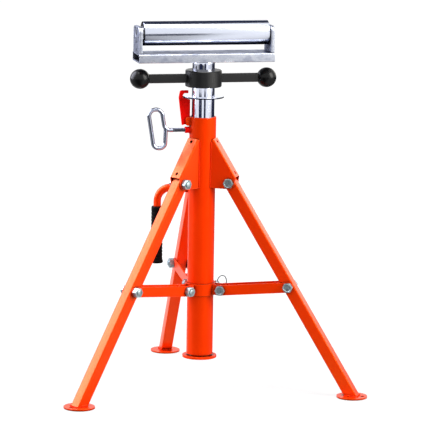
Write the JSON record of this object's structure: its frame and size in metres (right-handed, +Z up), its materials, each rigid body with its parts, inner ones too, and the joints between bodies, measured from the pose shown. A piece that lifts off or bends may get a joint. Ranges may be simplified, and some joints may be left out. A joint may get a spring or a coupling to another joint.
{
  "type": "roller stand",
  "caption": "Folding tripod stand with a height-adjustable jack mast and a horizontal conveyor roller that carries pipe or bar stock.",
  "frame": {"origin": "on the floor, at the middle of the stand's footprint; the main tube's axis stands at x = 0, y = -85.5 mm", "axes": "+Z up along the main tube and mast, +X along the roller's axle, +Y towards the rear leg, away from the camera"},
  "size_m": [0.658, 0.5788, 0.7917],
  "materials": {
    "orange_paint": "glossy orange powder coat",
    "red_paint": "glossy red enamel",
    "chrome_plate": "polished plate",
    "zinc_plate": "zinc plated steel, slightly mottled",
    "zinc_fasteners": "zinc plated fasteners",
    "black_cast_iron": "black oxide, satin",
    "black_ball_plastic": "moulded, glossy",
    "grip_rubber": "matte moulded rubber",
    "bright_steel": "bright turned steel",
    "black_seal_plastic": "moulded black plastic"
  },
  "bodies": {
    "frame": {"main_tube": "orange_paint", "base_plate": "orange_paint", "clamp_boss": "red_paint", "latch_pivot_pin": "zinc_fasteners", "carry_handle": "orange_paint", "handle_grip": "grip_rubber", "leg_bracket_right": "orange_paint", "leg_bracket_rear": "orange_paint", "leg_bracket_left": "orange_paint", "hinge_bolt_right": "zinc_fasteners", "hinge_bolt_rear": "zinc_fasteners", "hinge_bolt_left": "zinc_fasteners", "hinge_nut_right": "zinc_fasteners", "hinge_nut_rear": "zinc_fasteners", "hinge_nut_left": "zinc_fasteners"},
    "mast": {"mast_tube": "chrome_plate", "latch_ring": "chrome_plate", "thrust_washer": "bright_steel"},
    "nut": {"adjusting_nut": "black_cast_iron", "handle_arm_left": "black_cast_iron", "handle_arm_right": "black_cast_iron", "ball_knob_left": "black_ball_plastic", "ball_knob_right": "black_ball_plastic"},
    "head": {"head_sleeve": "chrome_plate", "lead_screw": "bright_steel", "cradle_section": "zinc_plate", "end_bracket_left": "zinc_plate", "end_bracket_right": "zinc_plate", "roller_axle": "bright_steel"},
    "roller": {"roller_shell": "zinc_plate", "roller_end_cap_left": "black_seal_plastic", "roller_end_cap_right": "black_seal_plastic", "roller_bearing_left": "bright_steel", "roller_bearing_right": "bright_steel"},
    "collar": {"lock_collar": "orange_paint", "collar_bolt_right": "zinc_fasteners", "collar_bolt_rear": "zinc_fasteners", "collar_bolt_left": "zinc_fasteners", "collar_nut_right": "zinc_fasteners", "collar_nut_rear": "zinc_fasteners", "collar_nut_left": "zinc_fasteners"},
    "pull_pin": {"lock_pin": "bright_steel", "split_ring": "bright_steel"},
    "clamp": {"clamp_screw": "chrome_plate"},
    "latch": {"latch_hook": "red_paint"},
    "leg_right": {"leg_right": "orange_paint", "foot_plate_right": "orange_paint"},
    "brace_right": {"brace_right": "orange_paint", "brace_bolt_right": "zinc_fasteners", "brace_nut_right": "zinc_fasteners"},
    "leg_rear": {"leg_rear": "orange_paint", "foot_plate_rear": "orange_paint"},
    "brace_rear": {"brace_rear": "orange_paint", "brace_bolt_rear": "zinc_fasteners", "brace_nut_rear": "zinc_fasteners"},
    "leg_left": {"leg_left": "orange_paint", "foot_plate_left": "orange_paint"},
    "brace_left": {"brace_left": "orange_paint", "brace_bolt_left": "zinc_fasteners", "brace_nut_left": "zinc_fasteners"}
  },
  "joints": [
    {"name": "leg_left_fold", "type": "hinge", "parent": "frame", "child": "leg_left", "pos_m": [-0.05568, -0.1176, 0.4481], "axis": [0.5, -0.866, 0], "range_deg": [0, 25]},
    {"name": "leg_right_fold", "type": "hinge", "parent": "frame", "child": "leg_right", "pos_m": [0.05568, -0.1176, 0.4481], "axis": [0.5, 0.866, 0], "range_deg": [0, 25]},
    {"name": "leg_rear_fold", "type": "hinge", "parent": "frame", "child": "leg_rear", "pos_m": [0, -0.02115, 0.4481], "axis": [-1, 0, 0], "range_deg": [0, 25]},
    {"name": "collar_slide", "type": "slide", "parent": "frame", "child": "collar", "axis": [0, 0, 1], "range_m": [0, 0.125]},
    {"name": "brace_left_hinge", "type": "hinge", "parent": "collar", "child": "brace_left", "pos_m": [-0.04269, -0.1101, 0.2138], "axis": [0.5, -0.866, 0], "range_deg": [0, 79]},
    {"name": "brace_right_hinge", "type": "hinge", "parent": "collar", "child": "brace_right", "pos_m": [0.04269, -0.1101, 0.2138], "axis": [0.5, 0.866, 0], "range_deg": [0, 79]},
    {"name": "brace_rear_hinge", "type": "hinge", "parent": "collar", "child": "brace_rear", "pos_m": [0, -0.03615, 0.2138], "axis": [-1, 0, 0], "range_deg": [0, 79]},
    {"name": "lock_pin_pull", "type": "slide", "parent": "collar", "child": "pull_pin", "axis": [0.866, 0.5, 0], "range_m": [-0.003, 0]},
    {"name": "mast_slide", "type": "slide", "parent": "frame", "child": "mast", "axis": [0, 0, 1], "range_m": [0, 0.4]},
    {"name": "nut_turn", "type": "hinge", "parent": "mast", "child": "nut", "pos_m": [0, -0.08545, 0.669], "axis": [0, 0, -1], "range_deg": [0, 3600]},
    {"name": "head_lift", "type": "slide", "parent": "mast", "child": "head", "axis": [0, 0, 1], "range_m": [0, 0.0505]},
    {"name": "roller_spin", "type": "hinge", "parent": "head", "child": "roller", "pos_m": [0, -0.08545, 0.7659], "axis": [1, 0, 0], "continuous": true},
    {"name": "clamp_screw_turn", "type": "hinge", "parent": "frame", "child": "clamp", "pos_m": [-0.083, -0.08545, 0.5585], "axis": [1, 0, 0], "range_deg": [0, 720]},
    {"name": "latch_swing", "type": "hinge", "parent": "frame", "child": "latch", "pos_m": [-0.034, -0.08545, 0.577], "axis": [0, -1, 0], "range_deg": [0, 20]}
  ],
  "couplings": [
    {"joint": "leg_right_fold", "follows": "leg_left_fold", "ratio": 1},
    {"joint": "leg_rear_fold", "follows": "leg_left_fold", "ratio": 1},
    {"joint": "collar_slide", "follows": "leg_left_fold", "m_per_rad": 0.28579},
    {"joint": "brace_left_hinge", "follows": "leg_left_fold", "ratio": 3.1524},
    {"joint": "brace_right_hinge", "follows": "leg_left_fold", "ratio": 3.1524},
    {"joint": "brace_rear_hinge", "follows": "leg_left_fold", "ratio": 3.1524},
    {"joint": "head_lift", "follows": "nut_turn", "m_per_rad": 0.000796}
  ]
}
